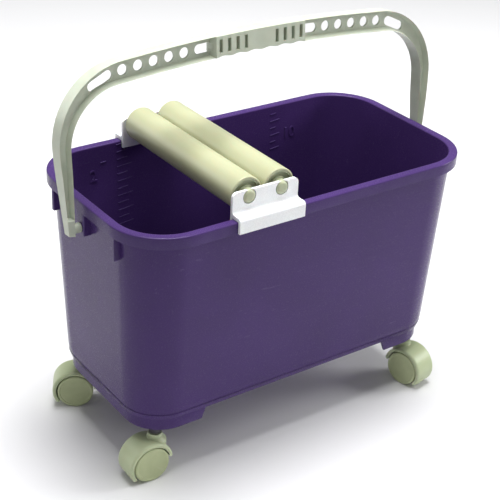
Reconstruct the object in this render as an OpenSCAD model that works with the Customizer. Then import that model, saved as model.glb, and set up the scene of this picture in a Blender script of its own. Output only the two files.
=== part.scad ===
// Wheeled rectangular mop bucket with a clip-on twin-roller wringer and a swinging bail handle.
// X runs along the bucket, -Y is the front long side, Z is up. The origin is on the floor,
// under the middle of the bucket. All sizes are in millimetres.

/* [Tub] */
// Length over the rim
rim_l = 480; // [440:1:600]
// Width over the rim
rim_w = 260; // [240:1:330]
// Corner radius of the rim
rim_r = 67; // [55:1:75]
// Height of the rim above the floor
rim_z = 332; // [270:1:410]
// Width of the flat band on top of the rim
rim_band = 11; // [10:0.5:14]
// How far the rim stands out past the wall
rim_out = 7.5; // [6:0.5:9]
// Depth of the skirt that hangs from the rim
skirt_h = 14; // [12:0.5:20]
// Thickness of the walls and the floor
wall = 3; // [2:0.1:3.5]
// How much narrower the tub is at the floor than under the rim, at each end
draft_l = 10.5; // [5:0.5:16]
// The same at each long side
draft_w = 13.5; // [6:0.5:18]
// Corner radius of the wall at the floor
floor_r = 50.5; // [45:0.5:55]

/* [Feet] */
// Height of the underside of the feet above the floor
foot_z = 67; // [62:1:90]
// Height of the feet
foot_h = 22; // [12:1:26]
// How far the feet are set in from the wall
foot_in = 5; // [3:0.5:6]
// Length of the gap between two feet on a long side
foot_gap = 264; // [180:1:300]
// How far the foot's inner edge slants
foot_slant = 9; // [0:0.5:12]

/* [Handle] */
// Height of the pivots below the top of the rim
pivot_drop = 32; // [28:1:40]
// Height of the grip's outer edge above the pivots
bail_h = 189; // [180:1:230]
// Gap between the rim and the arms
arm_gap = 9; // [6:0.5:14]
// Thickness of the arms where they are widest
arm_w = 13.5; // [12:0.5:16]
// Depth of the crossbar
bar_h = 24.5; // [22:0.5:30]
// Width of the flanges
flange_w = 18; // [14:0.5:20]
// Thickness of the flanges and the web
rib = 3; // [2:0.1:3.4]
// Radius of the crossbar's outer edge
bar_arc = 2000; // [1500:10:4000]
// Radius of the outer bend
bend_r = 88; // [75:1:95]
// Length of the grip
grip_l = 124; // [110:1:130]
// Width of the grip
grip_w = 21; // [19:0.5:24]
// Diameter of the pivot studs
stud_d = 10; // [8:0.5:12]
// Lean of the handle at rest, towards the back
lean = 5; // [0:1:10]

/* [Handle holes] */
// Diameter of the round holes
hole_d = 12.5; // [9:0.5:14]
// Distance between the round holes
hole_pitch = 19.75; // [17:0.25:22]
// Distance of the innermost round hole from the middle
hole_first = 99; // [96:1:104]
// Number of round holes on each side
hole_n = 5; // [3:1:5]
// Width of the grip's slots
slot_w = 4.5; // [3:0.5:6]
// Distance between the grip's slots
slot_pitch = 11.5; // [9:0.5:12]

/* [Wringer] */
// Distance of the wringer's middle from the middle of the bucket
wringer_x = -75; // [-100:1:100]
// Width of a bracket
bracket_w = 88; // [86:1:120]
// Thickness of a bracket's plate
bracket_t = 3.5; // [3:0.1:4.5]
// Height of the roller axes above the rim
roller_up = 21; // [20:0.5:30]
// Diameter of the rollers
roller_d = 41; // [34:0.5:41]
// Gap between the two rollers
roller_gap = 2.5; // [2:0.5:9]
// Wall of the roller tubes
roller_wall = 2.5; // [2:0.1:4]
// Diameter of the roller journals
journal_d = 17; // [12:0.5:18]
// Depth of a bracket's outer lip below the rim
lip_h = 13; // [8:0.5:20]
// Depth of a bracket's inner tongue below the rim
tongue_h = 8; // [5:0.5:20]

/* [Casters] */
// Distance of the swivel axes from the ends of the foot outline
caster_in_x = 24; // [23:0.5:34]
// Distance of the swivel axes from the sides of the foot outline
caster_in_y = 19; // [18:0.5:30]
// Diameter of the wheels
wheel_d = 45; // [40:0.5:50]
// Width of one wheel
wheel_w = 14; // [10:0.5:15]
// Trail of the wheel axis behind the swivel axis
trail = 12; // [10:0.5:16]
// Thickness of the hood over the wheels
hood_t = 4.5; // [3:0.5:6]
// Diameter of the stem
stem_d = 6; // [5:0.5:7]
// Diameter of the axle
axle_d = 4; // [3:0.5:5]
// Direction of the trail at the front left caster
swivel_fl = 178; // [0:1:359]
// Direction of the trail at the back left caster
swivel_bl = 150; // [0:1:359]
// Direction of the trail at the front right caster
swivel_fr = 281; // [0:1:359]
// Direction of the trail at the back right caster
swivel_br = 35; // [0:1:359]

/* [Fits] */
// Radial clearance of a turning shaft
run_gap = 0.08; // [0.05:0.01:0.1]
// Gap between pieces that clip or slide over each other
clip_gap = 0.4; // [0.3:0.05:0.6]
// Axial gap beside a turning piece
side_gap = 0.8; // [0.4:0.1:1.5]

/* [Hidden] */
CORNERS = ["front_left", "back_left", "front_right", "back_right"];

PURPLE = [0.27, 0.22, 0.42];
IVORY = [0.86, 0.88, 0.76];
WHITE = [0.96, 0.96, 0.97];
DARK = [0.16, 0.14, 0.2];
STEEL = [0.7, 0.7, 0.72];

eps = 0.01;
round_fn = 64;

// tub levels and half sizes
floor_z = foot_z + foot_h;
top_hx = rim_l / 2 - rim_out;
top_hy = rim_w / 2 - rim_out;
top_r = rim_r - rim_out;
low_hx = top_hx - draft_l;
low_hy = top_hy - draft_w;
foot_hx = low_hx - foot_in;
foot_hy = low_hy - foot_in;
foot_r = floor_r - foot_in;
inner_hx = rim_l / 2 - rim_band;
inner_hy = rim_w / 2 - rim_band;
skirt_t = 2.5;
rib_t = 5;
rib_y = 69;
rib_drop = 42;

// handle levels
pivot_z = rim_z - pivot_drop;
boss_w = 16;
boss_x = rim_l / 2;
hub_r = boss_w / 2;
arm_in = rim_l / 2 + arm_gap;
arm_out = arm_in + arm_w;
tip_w = 7.5;
arm_straight = 86;
wall_at_pivot = top_hx - draft_l * pivot_drop / (rim_z - floor_z);
stud_in = wall_at_pivot + 1;

// wringer levels
axis_z = rim_z + roller_up;
inner_slope = (inner_hy - low_hy + wall) / (rim_z - floor_z - wall);
plate_out = inner_hy - clip_gap - inner_slope * tongue_h;
plate_in = plate_out - bracket_t;
lip_in = rim_w / 2 + clip_gap;
web_t = 4.5;
roller_half = plate_in - side_gap - 2;
roller_pitch = roller_d + roller_gap;
plug_r = roller_d / 2 - roller_wall;
plug_depth = 12;
plate_top = 8;

// caster levels
caster_x = foot_hx - caster_in_x;
caster_y = foot_hy - caster_in_y;
wheel_r = wheel_d / 2;
web_half = 1.8;
wheel_in = web_half + side_gap;
wheel_out = wheel_in + wheel_w;
hood_gap = 1.6;
hood_ri = wheel_r + hood_gap;
hood_ro = hood_ri + hood_t;
neck_z = wheel_r + hood_ro + 6;
neck_r = 8.5;
collar_r = 7;
socket_z = neck_z + side_gap;
sleeve_r = 5.5;
sleeve_top = floor_z + 1;
boss_r = 10;
stem_top = sleeve_top - 4;
stem_low = neck_z - 16;

// ---------- plain shapes ----------

// rounded rectangle from its half sizes and corner radius
module rounded(hx, hy, r) {
    square([2 * hx, 2 * (hy - r)], center = true);
    square([2 * (hx - r), 2 * hy], center = true);
    for (sx = [-1, 1], sy = [-1, 1])
        translate([sx * (hx - r), sy * (hy - r)]) circle(r, $fn = round_fn);
}

// rounded block that widens from z0 to z1
module drafted(z0, hx0, hy0, r0, z1, hx1, hy1, r1) {
    hull() {
        for (sx = [-1, 1], sy = [-1, 1]) {
            translate([sx * (hx0 - r0), sy * (hy0 - r0), z0]) cylinder(r = r0, h = eps, $fn = 48);
            translate([sx * (hx1 - r1), sy * (hy1 - r1), z1 - eps]) cylinder(r = r1, h = eps, $fn = 48);
        }
    }
}

// cylinder along X from x0 to x1
module rod_x(r, x0, x1) {
    translate([x0, 0, 0]) rotate([0, 90, 0]) cylinder(r = r, h = x1 - x0, $fn = round_fn);
}

// cylinder along Y from y0 to y1
module rod_y(r, y0, y1) {
    translate([0, y0, 0]) rotate([-90, 0, 0]) cylinder(r = r, h = y1 - y0, $fn = round_fn);
}

module at_corners() {
    for (sx = [-1, 1], sy = [-1, 1]) translate([sx * caster_x, sy * caster_y, 0]) children();
}

// ---------- tub ----------

module tub() {
    color(PURPLE) difference() {
        union() {
            drafted(floor_z, low_hx, low_hy, floor_r, rim_z, top_hx, top_hy, top_r);
            translate([0, 0, foot_z]) linear_extrude(foot_h + wall) rounded(foot_hx, foot_hy, foot_r);
            translate([0, 0, rim_z - skirt_h]) linear_extrude(skirt_h)
                rounded(rim_l / 2, rim_w / 2, rim_r);
            tub_ribs();
        }
        drafted(floor_z + wall, low_hx - wall, low_hy - wall, floor_r - wall,
            rim_z + eps, inner_hx, inner_hy, rim_r - rim_band);
        skirt_hollow();
        foot_hollow();
        for (s = [-1, 1]) translate([0, 0, pivot_z])
            rod_x(stud_d / 2 + run_gap, s > 0 ? stud_in : -boss_x - 1, s > 0 ? boss_x + 1 : -stud_in);
        at_corners() translate([0, 0, foot_z - 1]) cylinder(r = sleeve_r, h = sleeve_top - foot_z + 1,
            $fn = round_fn);
    }
}

// pivot bosses and gussets on the short ends, under the rim
module tub_ribs() {
    for (s = [-1, 1]) {
        translate([s * (boss_x - 12), 0, pivot_z + 5]) cube([24, boss_w, 2 * hub_r + 12], center = true);
        for (y = [-rib_y, rib_y])
            translate([s * (boss_x - 14), y, rim_z - rib_drop / 2 - 1])
                cube([24, rib_t, rib_drop], center = true);
    }
}

// hollow between the skirt and the wall, kept clear of the bosses and gussets
module skirt_hollow() {
    difference() {
        translate([0, 0, rim_z - skirt_h - 1]) linear_extrude(skirt_h + 1 - wall)
            rounded(rim_l / 2 - skirt_t, rim_w / 2 - skirt_t, rim_r - skirt_t);
        drafted(floor_z, low_hx, low_hy, floor_r, rim_z, top_hx, top_hy, top_r);
        tub_ribs();
    }
}

// hollow under the floor between the feet, with its bosses left standing
module foot_hollow() {
    difference() {
        union() {
            translate([0, 0, foot_z - 1]) linear_extrude(foot_h + 1)
                rounded(foot_hx - wall, foot_hy - wall, foot_r - wall);
            translate([0, rim_w / 2, foot_z]) rotate([90, 0, 0]) linear_extrude(rim_w)
                polygon([
                    [-foot_gap / 2 - foot_slant, -1], [foot_gap / 2 + foot_slant, -1],
                    [foot_gap / 2, foot_h], [-foot_gap / 2, foot_h]
                ]);
        }
        at_corners() cylinder(r = boss_r, h = floor_z + 1, $fn = round_fn);
        for (sx = [-1, 1], sy = [-1, 1])
            translate([sx * (caster_x + caster_in_x / 2), sy * caster_y, foot_z + foot_h / 2 + 2])
                cube([caster_in_x, wall, foot_h], center = true);
        for (sx = [-1, 1], sy = [-1, 1])
            translate([sx * caster_x, sy * (caster_y + caster_in_y / 2), foot_z + foot_h / 2 + 2])
                cube([wall, caster_in_y, foot_h], center = true);
    }
}

// ---------- handle ----------

// The bail's outline, drawn in its own plane with the pivots on the X axis.
// d is how far the outline is drawn in from the true edge.
function bar_y(x, edge) = edge - (bar_arc - sqrt(bar_arc * bar_arc - x * x));
function bend_c(r) = [arm_out - bend_r, bar_y(arm_out - bend_r, bail_h) - bend_r];
function arc_pts(c, r, a0, a1, n) = [for (i = [0:n]) c + r * [cos(a0 + (a1 - a0) * i / n),
    sin(a0 + (a1 - a0) * i / n)]];
function bar_pts(x0, x1, edge, n) = [for (i = [0:n]) let (x = x0 + (x1 - x0) * i / n) [x, bar_y(x, edge)]];
inner_bend = bend_r - arm_w - 8;
inner_cx = arm_in - inner_bend;
inner_cy = bar_y(inner_cx, bail_h - bar_h) - inner_bend;

// one half of the outline, from the middle outwards and back
function half_bail(d) = concat(
    bar_pts(0, arm_out - bend_r, bail_h - d, 5),
    arc_pts(bend_c(0), bend_r - d, 87, 0, 12),
    [[arm_out - d, arm_straight], [arm_in + tip_w - d, -hub_r + 3 + d]],
    [[arm_in + tip_w - 2 - d, -hub_r + d], [arm_in + d, -hub_r + d]],
    arc_pts([inner_cx, inner_cy], inner_bend + d, 0, 87, 10),
    bar_pts(inner_cx, 0, bail_h - bar_h + d, 5)
);

module bail_outline(d) {
    polygon(half_bail(d));
    mirror([1, 0]) polygon(half_bail(d));
}

// long hole with round ends between two points of the bail's plane
module long_hole(a, b, r) {
    for (p = [a, b]) translate([p[0], 0, p[1]]) rod_y(r, -grip_w, grip_w);
    translate([(a[0] + b[0]) / 2, 0, (a[1] + b[1]) / 2])
        rotate([0, -atan2(b[1] - a[1], b[0] - a[0]), 0])
            cube([norm(b - a), 2 * grip_w, 2 * r], center = true);
}

module bail_holes() {
    mid = bail_h - bar_h / 2;
    for (s = [-1, 1]) {
        for (i = [0:hole_n - 1]) let (x = hole_first + i * hole_pitch)
            translate([s * x, 0, bar_y(x, mid)]) rod_y(hole_d / 2, -grip_w, grip_w);
        long_hole([s * (hole_first - 30), bar_y(70, mid)], [s * (hole_first - 19), bar_y(80, mid)],
            hole_d / 2 - 0.5);
        long_hole([s * (arm_out - 66), bar_y(200, mid) - 1], [s * (arm_out - 47), bar_y(218, mid) - 8],
            hole_d / 2 - 0.5);
    }
}

// four upright slots near each end of the grip, on both faces, and the finger grooves below
module grip_cuts() {
    mid = bail_h - bar_h / 2;
    for (s = [-1, 1], f = [-1, 1], i = [0:3])
        translate([s * (grip_l / 2 - 6 - i * slot_pitch), f * grip_w / 2, mid])
            cube([slot_w, 10, bar_h - 3 * rib], center = true);
    for (i = [-1.5:1:1.5])
        translate([i * 21, 0, bail_h - bar_h - 31]) rod_y(32.5, -grip_w, grip_w);
}

module handle() {
    color(IVORY) translate([0, 0, pivot_z]) rotate([-lean, 0, 0]) {
        difference() {
            union() {
                rotate([90, 0, 0]) linear_extrude(flange_w, center = true) bail_outline(0);
                intersection() {
                    rotate([90, 0, 0]) linear_extrude(grip_w, center = true) bail_outline(0);
                    translate([0, 0, bail_h]) cube([grip_l, 2 * grip_w, 4 * bar_h], center = true);
                }
            }
            for (f = [-1, 1]) translate([0, f * (flange_w / 2 + rib / 2), 0]) rotate([90, 0, 0])
                linear_extrude(flange_w, center = true) difference() {
                    bail_outline(rib);
                    square([grip_l, 4 * bail_h], center = true);
                    for (s = [-1, 1]) translate([s * arm_in, 0]) circle(hub_r + 5, $fn = round_fn);
                }
            bail_holes();
            grip_cuts();
        }
        for (s = [-1, 1]) mirror([s > 0 ? 0 : 1, 0, 0]) pivot_stud();
    }
}

// hub and stud at one end of the bail, which springs into the blind hole of its boss
module pivot_stud() {
    rod_x(hub_r, boss_x + clip_gap, arm_in + 3);
    rod_x(stud_d / 2, stud_in + side_gap, arm_in + 1);
}

// ---------- wringer ----------

// the bracket on the back rim; the front one is its mirror image
module bracket() {
    difference() {
        union() {
            // plate with its inner tongue
            translate([wringer_x - bracket_w / 2, plate_in, rim_z - tongue_h])
                cube([bracket_w, bracket_t, tongue_h + roller_up + plate_top]);
            // web over the rim
            translate([wringer_x - bracket_w / 2, plate_in, rim_z + clip_gap])
                cube([bracket_w, lip_in + bracket_t - plate_in, web_t]);
            // lip outside the rim
            translate([wringer_x - bracket_w / 2, lip_in, rim_z - lip_h])
                cube([bracket_w, bracket_t, lip_h + clip_gap + web_t]);
        }
        for (s = [-1, 1]) translate([wringer_x + s * roller_pitch / 2, 0, axis_z]) {
            rod_y(journal_d / 2 + run_gap, plate_in - 1, plate_out + 1);
            translate([0, plate_out + 1, 0]) rotate([90, 0, 0]) linear_extrude(bracket_t + 2)
                polygon([
                    [-journal_d * 0.43, journal_d * 0.25], [journal_d * 0.43, journal_d * 0.25],
                    [journal_d * 0.15, plate_top + 1], [-journal_d * 0.15, plate_top + 1]
                ]);
        }
        // sloping shoulders of the plate
        for (s = [-1, 1]) translate([wringer_x + s * bracket_w / 2, plate_in - 1, axis_z + plate_top])
            rotate([0, 45, 0]) cube([10, 2 * bracket_t + 4, 10], center = true);
    }
}

module wringer_bracket_back() {
    color(WHITE) bracket();
}

module wringer_bracket_front() {
    color(WHITE) mirror([0, 1, 0]) bracket();
}

module at_roller(s) {
    translate([wringer_x + s * roller_pitch / 2, 0, axis_z]) children();
}

module roller_tube() {
    color(IVORY) difference() {
        rod_y(roller_d / 2, -roller_half, roller_half);
        rod_y(plug_r, -roller_half - 1, roller_half + 1);
    }
}

// plug pressed into the back end of a roller tube, with its hollow journal
module roller_plug() {
    color(IVORY) difference() {
        union() {
            rod_y(plug_r, roller_half - plug_depth, roller_half - 1);
            rod_y(journal_d / 2, roller_half - 2, plate_out + 1.5);
        }
        rod_y(journal_d / 2 - 2.5, roller_half - plug_depth + 3, plate_out + 2);
        difference() {
            rod_y(plug_r - 2, roller_half - 4, roller_half);
            rod_y(journal_d / 2 + 2, roller_half - 5, roller_half + 1);
        }
    }
}

module left_roller_tube() {
    at_roller(-1) roller_tube();
}

module right_roller_tube() {
    at_roller(1) roller_tube();
}

module left_roller_plug_back() {
    at_roller(-1) roller_plug();
}

module left_roller_plug_front() {
    at_roller(-1) mirror([0, 1, 0]) roller_plug();
}

module right_roller_plug_back() {
    at_roller(1) roller_plug();
}

module right_roller_plug_front() {
    at_roller(1) mirror([0, 1, 0]) roller_plug();
}

// ---------- casters, drawn on their swivel axis with the trail along +X ----------

// sleeve pressed into the tub's boss, with the collar that shows below it
module caster_socket() {
    color(DARK) difference() {
        union() {
            translate([0, 0, socket_z]) cylinder(r = collar_r, h = foot_z - socket_z, $fn = round_fn);
            translate([0, 0, foot_z - 1]) cylinder(r = sleeve_r, h = sleeve_top - foot_z + 1, $fn = round_fn);
        }
        translate([0, 0, socket_z - 1]) cylinder(r = stem_d / 2 + run_gap, h = stem_top - socket_z + 2,
            $fn = round_fn);
    }
}

module caster_stem() {
    color(STEEL) difference() {
        union() {
            translate([0, 0, stem_low]) cylinder(d = stem_d, h = stem_top - 1 - stem_low, $fn = round_fn);
            translate([0, 0, stem_top - 1]) cylinder(d1 = stem_d, d2 = stem_d - 2, h = 1, $fn = round_fn);
        }
        translate([0, 0, stem_top - 6]) difference() {
            cylinder(d = stem_d + 1, h = 2, $fn = round_fn);
            cylinder(d = stem_d - 1.5, h = 2, $fn = round_fn);
        }
    }
}

module caster_hood() {
    color(IVORY) difference() {
        union() {
            translate([trail, 0, wheel_r]) rod_y(hood_ro, -wheel_out, wheel_out);
            translate([0, 0, wheel_r]) cylinder(r = neck_r, h = neck_z - wheel_r, $fn = round_fn);
        }
        // wheel spaces on both sides of the web
        for (s = [-1, 1]) translate([trail, s * (web_half + wheel_w), wheel_r])
            rod_y(hood_ri, -wheel_w, wheel_w);
        // open underside, lower at the tail
        translate([trail, 0, wheel_r - 6]) rotate([0, 22, 0])
            translate([0, 0, -50]) cube([160, 4 * wheel_out, 100], center = true);
        translate([trail, 0, wheel_r]) rod_y(axle_d / 2, -web_half - 1, web_half + 1);
        translate([0, 0, stem_low]) cylinder(d = stem_d, h = neck_z, $fn = round_fn);
    }
    color(IVORY) caster_web();
}

// the web's foot round the axle, below the cut underside
module caster_web() {
    difference() {
        translate([trail, 0, wheel_r]) rod_y(7, -web_half, web_half);
        translate([trail, 0, wheel_r]) rod_y(axle_d / 2, -web_half - 1, web_half + 1);
    }
}

module caster_axle() {
    color(STEEL) translate([trail, 0, wheel_r]) rod_y(axle_d / 2, -wheel_out + 3, wheel_out - 3);
}

// wheel with a closed outer face and a hollow inner side
module caster_wheel() {
    color(IVORY) translate([trail, 0, wheel_r]) difference() {
        union() {
            rod_y(wheel_r - 1, wheel_in, wheel_out);
            rod_y(wheel_r, wheel_in + 1, wheel_out - 1);
        }
        rod_y(axle_d / 2 + run_gap, wheel_in - 1, wheel_out - 2.8);
        difference() {
            rod_y(wheel_r - 4, wheel_in - 1, wheel_out - 4);
            rod_y(axle_d / 2 + 3, wheel_in - 2, wheel_out);
        }
    }
}

// one named piece of the caster at a corner
module caster_piece(piece) {
    if (piece == "socket") caster_socket();
    if (piece == "stem") caster_stem();
    if (piece == "hood") caster_hood();
    if (piece == "axle") caster_axle();
    if (piece == "inner_wheel") mirror([0, 1, 0]) caster_wheel();
    if (piece == "outer_wheel") caster_wheel();
}

module at_caster(sx, sy, swivel) {
    translate([sx * caster_x, sy * caster_y, 0]) rotate([0, 0, swivel]) children();
}

tub();
handle();
wringer_bracket_front();
wringer_bracket_back();
left_roller_tube();
right_roller_tube();
left_roller_plug_front();
left_roller_plug_back();
right_roller_plug_front();
right_roller_plug_back();
for (piece = ["socket", "stem", "hood", "axle", "inner_wheel", "outer_wheel"]) {
    at_caster(-1, -1, swivel_fl) caster_piece(piece);
    at_caster(-1, 1, swivel_bl) caster_piece(piece);
    at_caster(1, -1, swivel_fr) caster_piece(piece);
    at_caster(1, 1, swivel_br) caster_piece(piece);
}
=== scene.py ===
import math

import bmesh
import bpy
from mathutils import Matrix, Vector


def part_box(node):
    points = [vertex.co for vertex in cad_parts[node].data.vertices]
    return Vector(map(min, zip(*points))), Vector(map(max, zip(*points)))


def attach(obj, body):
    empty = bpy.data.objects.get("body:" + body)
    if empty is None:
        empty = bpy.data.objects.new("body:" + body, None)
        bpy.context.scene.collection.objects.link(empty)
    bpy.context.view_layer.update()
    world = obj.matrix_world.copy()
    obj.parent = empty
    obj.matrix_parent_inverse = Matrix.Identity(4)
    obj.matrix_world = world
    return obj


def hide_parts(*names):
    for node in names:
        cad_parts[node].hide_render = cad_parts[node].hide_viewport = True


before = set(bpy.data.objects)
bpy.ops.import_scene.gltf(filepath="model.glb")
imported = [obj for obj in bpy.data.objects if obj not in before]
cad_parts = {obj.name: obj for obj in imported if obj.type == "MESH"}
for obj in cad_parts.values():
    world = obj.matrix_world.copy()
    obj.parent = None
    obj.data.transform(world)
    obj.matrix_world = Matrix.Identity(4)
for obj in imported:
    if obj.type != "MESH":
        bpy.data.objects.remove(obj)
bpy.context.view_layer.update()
mm = 0.001
tiny = 0.01 * mm
# how far a cutting tool goes past the face it cuts
past = 2 * mm

# working tools


def pickOnly(*objs):
    bpy.ops.object.select_all(action="DESELECT")
    for obj in objs:
        obj.select_set(True)
    bpy.context.view_layer.objects.active = objs[0]


def place(obj, location=(0, 0, 0), turn=(0, 0, 0), scale=(1, 1, 1)):
    obj.location = location
    obj.rotation_euler = turn
    obj.scale = scale
    pickOnly(obj)
    bpy.ops.object.transform_apply(location=True, rotation=True, scale=True)


def applyModifier(obj, kind, **settings):
    pickOnly(obj)
    modifier = obj.modifiers.new(kind.title(), kind)
    for key, value in settings.items():
        setattr(modifier, key, value)
    bpy.ops.object.modifier_apply(modifier=modifier.name)


def combine(obj, tool, operation):
    applyModifier(obj, "BOOLEAN", object=tool, operation=operation, solver="EXACT")
    bpy.data.objects.remove(tool)


def addTo(obj, tool):
    combine(obj, tool, "UNION")


def cutFrom(obj, tool):
    combine(obj, tool, "DIFFERENCE")


def roundEdges(obj, width, steps=2, angle=35):
    applyModifier(
        obj, "BEVEL", width=width, segments=steps, limit_method="ANGLE",
        angle_limit=math.radians(angle), miter_outer="MITER_ARC")


def selectIn(obj, kind, test):
    # edit mode, with only the vertices, edges or faces that pass the test selected
    pickOnly(obj)
    bpy.ops.object.mode_set(mode="EDIT")
    bpy.ops.mesh.select_mode(type={"verts": "VERT", "edges": "EDGE", "faces": "FACE"}[kind])
    bpy.ops.mesh.select_all(action="DESELECT")
    shape = bmesh.from_edit_mesh(obj.data)
    for part in getattr(shape, kind):
        if test(part):
            part.select_set(True)
    bmesh.update_edit_mesh(obj.data)


def editAll(obj):
    pickOnly(obj)
    bpy.ops.object.mode_set(mode="EDIT")
    bpy.ops.mesh.select_all(action="SELECT")


def leaveEdit():
    bpy.ops.object.mode_set(mode="OBJECT")


def closeUp(obj):
    # seams merged and every face turned outwards
    editAll(obj)
    bpy.ops.mesh.remove_doubles(threshold=tiny)
    bpy.ops.mesh.delete_loose()
    bpy.ops.mesh.select_all(action="SELECT")
    bpy.ops.mesh.normals_make_consistent(inside=False)
    leaveEdit()


def smooth(obj, angle=32):
    pickOnly(obj)
    bpy.ops.object.shade_smooth_by_angle(angle=math.radians(angle))
    applyModifier(obj, "WEIGHTED_NORMAL", keep_sharp=True)


def copyOf(obj, name):
    twin = obj.copy()
    twin.data = obj.data.copy()
    twin.name = name
    bpy.context.scene.collection.objects.link(twin)
    return twin


def boxAt(low, high):
    centre = (Vector(low) + Vector(high)) / 2
    bpy.ops.mesh.primitive_cube_add(size=1, location=centre)
    obj = bpy.context.object
    obj.scale = Vector(high) - Vector(low)
    bpy.ops.object.transform_apply(location=True, rotation=True, scale=True)
    return obj


def rodAt(radius, start, end, steps=48):
    # round bar between two points
    start, end = Vector(start), Vector(end)
    way = end - start
    bpy.ops.mesh.primitive_cylinder_add(
        vertices=steps, radius=radius, depth=way.length, location=(start + end) / 2,
        rotation=way.to_track_quat("Z", "Y").to_euler())
    obj = bpy.context.object
    bpy.ops.object.transform_apply(location=True, rotation=True, scale=True)
    return obj


def filleted(points, radii, steps=4):
    # closed outline with each corner rounded to its own radius, 0 for a sharp one
    outline = []
    count = len(points)
    for i, radius in enumerate(radii):
        corner = Vector(points[i])
        if radius == 0:
            outline.append(corner)
            continue
        back = (Vector(points[i - 1]) - corner).normalized()
        ahead = (Vector(points[(i + 1) % count]) - corner).normalized()
        half = back.angle(ahead) / 2
        reach = radius / math.tan(half)
        centre = corner + (back + ahead).normalized() * radius / math.sin(half)
        first = corner + back * reach - centre
        last = corner + ahead * reach - centre
        for k in range(steps + 1):
            share = k / steps
            arm = first.lerp(last, share).normalized() * radius
            outline.append(centre + arm)
    return outline


def outlineFace(name, points):
    # one flat face through the points
    bpy.ops.mesh.primitive_circle_add(vertices=len(points), fill_type="NGON")
    obj = bpy.context.object
    obj.name = name
    for vertex, point in zip(obj.data.vertices, points):
        vertex.co = point
    return obj


def extrudedOutline(name, points, way):
    obj = outlineFace(name, points)
    editAll(obj)
    bpy.ops.mesh.extrude_region_move(TRANSFORM_OT_translate={"value": way})
    leaveEdit()
    closeUp(obj)
    return obj


def turned(name, profile, steps=64, closed=False):
    # profile of (radius, height) spun round Z; an open one starts and ends on the axis
    bpy.ops.mesh.primitive_circle_add(vertices=len(profile), fill_type="NOTHING")
    obj = bpy.context.object
    obj.name = name
    for vertex, point in zip(obj.data.vertices, profile):
        vertex.co = (point[0], 0, point[1])
    if not closed:
        last = len(profile) - 1
        selectIn(obj, "edges", lambda e: {e.verts[0].index, e.verts[1].index} == {0, last})
        bpy.ops.mesh.delete(type="EDGE")
        leaveEdit()
    editAll(obj)
    bpy.ops.mesh.spin(steps=steps, angle=2 * math.pi, center=(0, 0, 0), axis=(0, 0, 1))
    leaveEdit()
    closeUp(obj)
    return obj


def drawOn(obj, old, new):
    # the selected end is extruded, and its corners go from the old points to the new ones
    bpy.ops.mesh.extrude_region_move()
    shape = bmesh.from_edit_mesh(obj.data)
    for vertex in shape.verts:
        if vertex.select:
            nearest = min(range(len(old)), key=lambda k: (vertex.co - old[k]).length)
            vertex.co = new[nearest]
    bmesh.update_edit_mesh(obj.data)


# finishes: shader groups shared by the materials


def newGroup(name, inputs, outputs):
    group = bpy.data.node_groups.new(name, "ShaderNodeTree")
    for label, kind, value in inputs:
        socket = group.interface.new_socket(label, in_out="INPUT", socket_type=kind)
        if value is not None:
            socket.default_value = value
    for label, kind in outputs:
        group.interface.new_socket(label, in_out="OUTPUT", socket_type=kind)
    return group, group.nodes.new("NodeGroupInput"), group.nodes.new("NodeGroupOutput")


def node(tree, kind, links=(), **settings):
    made = tree.nodes.new(kind)
    for key, value in settings.items():
        setattr(made, key, value)
    for socket, source in dict(links).items():
        if isinstance(source, bpy.types.NodeSocket):
            tree.links.new(source, made.inputs[socket])
        else:
            made.inputs[socket].default_value = source
    return made


def mixColours(tree, mask, first, second):
    mix = tree.nodes.new("ShaderNodeMix")
    mix.data_type = "RGBA"
    tree.links.new(mask, mix.inputs[0])
    for socket, value in ((mix.inputs[6], first), (mix.inputs[7], second)):
        if isinstance(value, bpy.types.NodeSocket):
            tree.links.new(value, socket)
        else:
            socket.default_value = (*value, 1)
    return mix.outputs[2]


def softMottleGroup():
    # slow change of shade, as pigment flows in a mould
    group, start, end = newGroup(
        "softMottle",
        [("Vector", "NodeSocketVector", None), ("Scale", "NodeSocketFloat", 6.0),
         ("Amount", "NodeSocketFloat", 0.5)],
        [("Mask", "NodeSocketFloat")])
    slow = node(group, "ShaderNodeTexNoise", {
        "Vector": start.outputs["Vector"], "Scale": start.outputs["Scale"],
        "Detail": 3.0, "Roughness": 0.55, "Distortion": 0.6})
    spread = node(group, "ShaderNodeMapRange", {
        "Value": slow.outputs["Fac"], "From Min": 0.35, "From Max": 0.68, "To Min": 0.0,
        "To Max": start.outputs["Amount"]})
    group.links.new(spread.outputs["Result"], end.inputs["Mask"])
    return group


def mouldGrainGroup():
    # fine spark-eroded grain of the mould and a slight waviness of the wall
    group, start, end = newGroup(
        "mouldGrain",
        [("Vector", "NodeSocketVector", None), ("Grain Scale", "NodeSocketFloat", 900.0),
         ("Wave Scale", "NodeSocketFloat", 14.0), ("Wave", "NodeSocketFloat", 0.4)],
        [("Height", "NodeSocketFloat"), ("Speck", "NodeSocketFloat")])
    grain = node(group, "ShaderNodeTexNoise", {
        "Vector": start.outputs["Vector"], "Scale": start.outputs["Grain Scale"], "Detail": 2.0})
    wave = node(group, "ShaderNodeTexNoise", {
        "Vector": start.outputs["Vector"], "Scale": start.outputs["Wave Scale"], "Detail": 1.0})
    swell = node(group, "ShaderNodeMath", {0: wave.outputs["Fac"], 1: start.outputs["Wave"]},
                 operation="MULTIPLY")
    total = node(group, "ShaderNodeMath", {0: grain.outputs["Fac"], 1: swell.outputs[0]},
                 operation="ADD")
    group.links.new(total.outputs[0], end.inputs["Height"])
    group.links.new(grain.outputs["Fac"], end.inputs["Speck"])
    return group


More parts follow.
